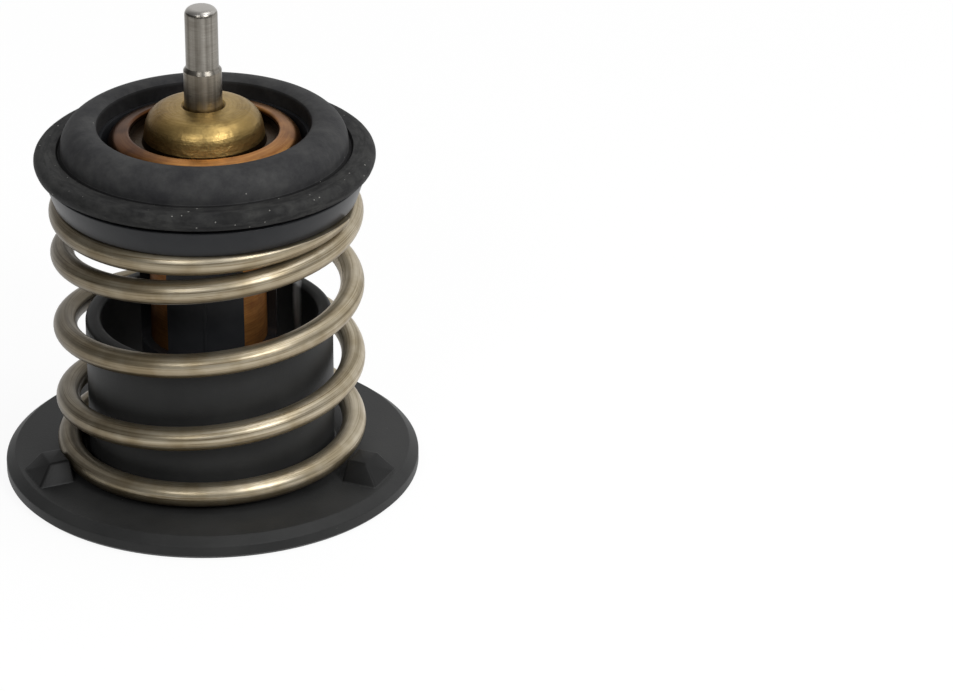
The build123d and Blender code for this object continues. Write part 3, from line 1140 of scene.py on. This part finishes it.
def drawn_copper():
    """Warm copper, drawn and rolled, with brown tarnish in patches, and painted shade at the sides and at
    the back.
    """
    material, tree, shader = new_finish("drawn_copper", metallic=1.0)
    rings = lathe_lines(tree, line_width=0.18, run=2.0)
    tarnish = patches(tree, size=3.0, detail=4.0)
    sideways = across(tree, rim_radius)
    backwards = across(tree, rim_radius, "Y")
    colour = ramp(tree, rings, [(0.35, copper_dark), (0.65, copper_bright)])
    tarnished = spread(tree, tarnish, source=(0.45, 0.75), target=(0.0, 0.7))
    colour = over(tree, tarnished, colour, tarnish_colour)
    # Painted shade at the sides and at the back.
    for layer in (
        ramp(tree, sideways, [(0.2, copper_left_painted_shade), (0.5, no_tint), (0.95, copper_right_painted_shade)]),
        ramp(tree, backwards, [(0.6, no_tint), (0.9, copper_back_painted_shade)]),
    ):
        colour = tinted(tree, colour, layer)
    on_cup = calc(tree, "LESS_THAN", along(tree, "Z"), pocket_floor * mm)
    roughness = calc(tree, "MULTIPLY_ADD", on_cup, cup_dullness, spread(tree, tarnish, target=(0.2, 0.42)))
    coat(tree, shader, colour, roughness, rings, depth=0.012)
    return material


case.data.materials.append(drawn_copper())
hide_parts("copper_case")
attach(case, "valve")
print("case: finish", case.data.materials[0].name)

# %% [markdown]
# ## Brass guide
#
# The guide is turned brass with a domed head, and it closes the wax element. Its shoulder lies
# under the rolled rim of the case, so its outline is worked out from the case's. A sphere would
# be too round for the head, which is nearly level on top and has one large round at its edge.

# %% Brass guide: turned shape
guide_radius, guide_foot, dome_top = node_box("brass_guide")
fit_gap = 0.03
dome_radius = 7.9
dome_taper = 0.75
dome_fall = 0.45
dome_round = 2.8
groove_depth = 0.8
bore_radius = 2.5
washer_seat_radius = 4.53
washer_seat_depth = 1.0
mouth_bevel = 0.35
washer_seat = guide_foot + washer_seat_depth
guide_shoulder = crimp_lip - crimp_wall - fit_gap
guide_edge = guide_shoulder - crimp_slope * (guide_radius - crimp_lip_radius)
groove_floor = guide_shoulder - groove_depth

guide_corners = [
    (washer_seat_radius, guide_foot, soft_edge),
    (guide_radius, guide_foot, soft_edge),
    (guide_radius, guide_edge, roll_round - case_wall - fit_gap),
    (crimp_lip_radius, guide_shoulder, 0),
    (crimp_lip_radius, groove_floor, 0),
    (dome_radius, groove_floor, soft_edge),
    (dome_radius - dome_taper, dome_top - dome_fall, dome_round),
    (bore_radius + mouth_bevel, dome_top, soft_edge),
    (bore_radius, dome_top - mouth_bevel, 0),
    (bore_radius, washer_seat, 0),
    (washer_seat_radius, washer_seat, 0),
]
guide = turned("brass_dome", rounded(guide_corners))
print("guide:", len(guide.data.polygons), "faces")

# %% [markdown]
# The brass is dull yellow, with faint rings from the lathe, small pits that break up its bright
# spots, and brown stains. It is darker on both sides and black in the groove round the dome, all
# of which is painted shade. One smooth colour would look like gold paint, so all of that is laid on.

# %% Brass guide: finish
brass_dark = (0.46, 0.32, 0.115)
brass_bright = (0.63, 0.445, 0.17)
brass_stain = (0.2, 0.12, 0.045)
# Painted shade: the next two tints darken the brass on both sides, and the groove colour paints the groove's
# shade.
brass_left_painted_shade = (0.45, 0.4, 0.36)
brass_right_painted_shade = (0.56, 0.54, 0.52)
groove_painted_shade = (0.05, 0.03, 0.014)
pits_to_rings = 3.0


def turned_brass():
    """Dull yellow brass with turning rings, pits, brown stains, and painted shade on both sides and in the
    groove.
    """
    material, tree, shader = new_finish("turned_brass", metallic=1.0)
    rings = lathe_lines(tree, line_width=0.14, run=1.5)
    sideways = across(tree, dome_radius)
    colour = ramp(tree, rings, [(0.3, brass_dark), (0.7, brass_bright)])
    stains = spread(tree, patches(tree, size=2.2, detail=4.0), source=(0.5, 0.8), target=(0.0, 0.6))
    colour = over(tree, stains, colour, brass_stain)
    # Painted shade on both sides.
    brass_side_shade = ramp(tree, sideways, [(0.1, brass_left_painted_shade), (0.5, no_tint), (0.9, brass_right_painted_shade)])
    colour = tinted(tree, colour, brass_side_shade)
    # Painted shade in the groove round the dome.
    in_groove = calc(tree, "GREATER_THAN", from_axis(tree), (dome_radius - soft_edge) * mm)
    colour = over(tree, in_groove, colour, groove_painted_shade)
    pitted = calc(tree, "MULTIPLY_ADD", patches(tree, size=0.7), pits_to_rings, rings)
    coat(tree, shader, colour, spread(tree, rings, target=(0.48, 0.33)), pitted, depth=0.022)
    return material


guide.data.materials.append(turned_brass())
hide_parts("brass_guide")
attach(guide, "valve")
print("guide: finish", guide.data.materials[0].name)

# %% [markdown]
# ## Piston
#
# The piston is a ground steel pin with a small step and a rounded tip. Its lower end tapers to
# a nose inside the boot. A cylinder with scaled loops would do, but the turned outline gives the
# step and the rounds their true sizes. It is thin, so it needs fewer sides than the rest.

# %% Piston: turned shape
piston_radius, piston_foot, piston_tip = node_box("piston")
tip_radius = 2.1
tip_round = 0.9
step_foot = 55.8
step_length = 0.5
step_foot_round = 0.12
step_top_round = 0.1
nose_radius = 1.3
nose_round = 0.2
nose_length = 5.0
pin_sides = 96

piston_corners = [
    (0, piston_foot, 0),
    (nose_radius, piston_foot, nose_round),
    (piston_radius, piston_foot + nose_length, 0),
    (piston_radius, step_foot, step_foot_round),
    (tip_radius, step_foot + step_length, step_top_round),
    (tip_radius, piston_tip, tip_round),
    (0, piston_tip, 0),
]
piston = turned("stepped_pin", rounded(piston_corners, closed=False), closed=False, sides=pin_sides)
print("piston:", len(piston.data.polygons), "faces")

# %% [markdown]
# Grinding leaves finer lines than turning does, and the steel carries smudges and a few streaks
# along the pin, which also lay painted shade in bands round it. Below the step it is warmer in
# colour, at the tip it is worn bright with a painted highlight laid in as well, and its left side
# is darker with painted shade. A painted image could hold all of that, but it would need a UV
# map; here each is one layer of colour over the lines.

# %% Piston: finish
steel_dark = (0.27, 0.25, 0.22)
steel_bright = (0.38, 0.36, 0.325)
smudge_colour = (0.19, 0.165, 0.135)
# Painted shade: the streaks also darken the pin in bands, and the left tint darkens its left side.
streak_and_shade_tint = (0.55, 0.54, 0.52)
pin_left_painted_shade = (0.62, 0.61, 0.59)
warm_tint = (1.0, 0.95, 0.87)
# Worn tip, partly a painted highlight: brighter where its top would catch light.
worn_steel_and_highlight = (0.5, 0.48, 0.45)
worn_highlight_foot = piston_tip - tip_round / 2


def streaks(tree, scale):
    """Streaks that run up the object, more of them with a larger scale."""
    return noise(tree, compass(tree), scale, detail=4.0, roughness=0.6)


def ground_steel():
    """Satin steel with fine grinding lines, smudges, streaks that also paint shade, a warm lower part, a
    worn tip that also holds a painted highlight, and painted shade on the left.
    """
    material, tree, shader = new_finish("ground_steel", metallic=1.0)
    lines = lathe_lines(tree, line_width=0.07, run=1.0)
    smudges = patches(tree, size=2.0)
    colour = ramp(tree, lines, [(0.3, steel_dark), (0.7, steel_bright)])
    smudged = spread(tree, smudges, source=(0.5, 0.8), target=(0.0, 0.5))
    colour = over(tree, smudged, colour, smudge_colour)
    # Streaks that partly paint shade, and painted shade on the left.
    for layer in (
        ramp(tree, streaks(tree, scale=2.2), [(0.4, streak_and_shade_tint), (0.6, no_tint)]),
        ramp(tree, across(tree, piston_radius), [(0.1, pin_left_painted_shade), (0.45, no_tint)]),
    ):
        colour = tinted(tree, colour, layer)
    below_step = calc(tree, "LESS_THAN", along(tree, "Z"), step_foot * mm)
    colour = tinted_where(tree, below_step, colour, warm_tint)
    # The worn tip is also a painted highlight.
    worn_and_highlit = calc(tree, "GREATER_THAN", along(tree, "Z"), worn_highlight_foot * mm)
    colour = over(tree, worn_and_highlit, colour, worn_steel_and_highlight)
    coat(tree, shader, colour, spread(tree, smudges, target=(0.22, 0.38)), lines, depth=0.008)
    return material


piston.data.materials.append(ground_steel())
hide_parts("piston")
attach(piston, "piston")
print("piston: finish", piston.data.materials[0].name)

# %% [markdown]
# ## Pieces inside the wax element
#
# The washer, the boot and the wax do not show until the element is taken apart. They could be
# made again like the others, but their solids are right as they are, so they keep them and only
# get a finish.

# %% Finishes of the pieces inside
roughness_play = 0.08
grains_per_patch = 8


def inside_finish(name, dark, pale, roughness, patch_size):
    """A plain-coloured finish that is cloudy and slightly rough."""
    material, tree, shader = new_finish(name)
    cloud = patches(tree, patch_size, detail=4.0)
    colour = ramp(tree, cloud, [(0.3, dark), (0.7, pale)])
    uneven = spread(tree, cloud, target=(roughness - roughness_play, roughness + roughness_play))
    coat(tree, shader, colour, uneven, patches(tree, patch_size / grains_per_patch), depth=0.02)
    return material


inside = {
    "backup_washer": inside_finish(
        "slippery_white", dark=(0.7, 0.69, 0.66), pale=(0.8, 0.79, 0.76), roughness=0.35, patch_size=2.0
    ),
    "rubber_boot": inside_finish(
        "boot_rubber", dark=(0.014, 0.014, 0.014), pale=(0.024, 0.024, 0.024), roughness=0.55, patch_size=3.0
    ),
    "wax_charge": inside_finish(
        "copper_filled_wax", dark=(0.26, 0.12, 0.06), pale=(0.38, 0.19, 0.1), roughness=0.5, patch_size=1.5
    ),
}
for name, finish in inside.items():
    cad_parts[name].material_slots[0].material = finish
print("inside:", ", ".join(inside))
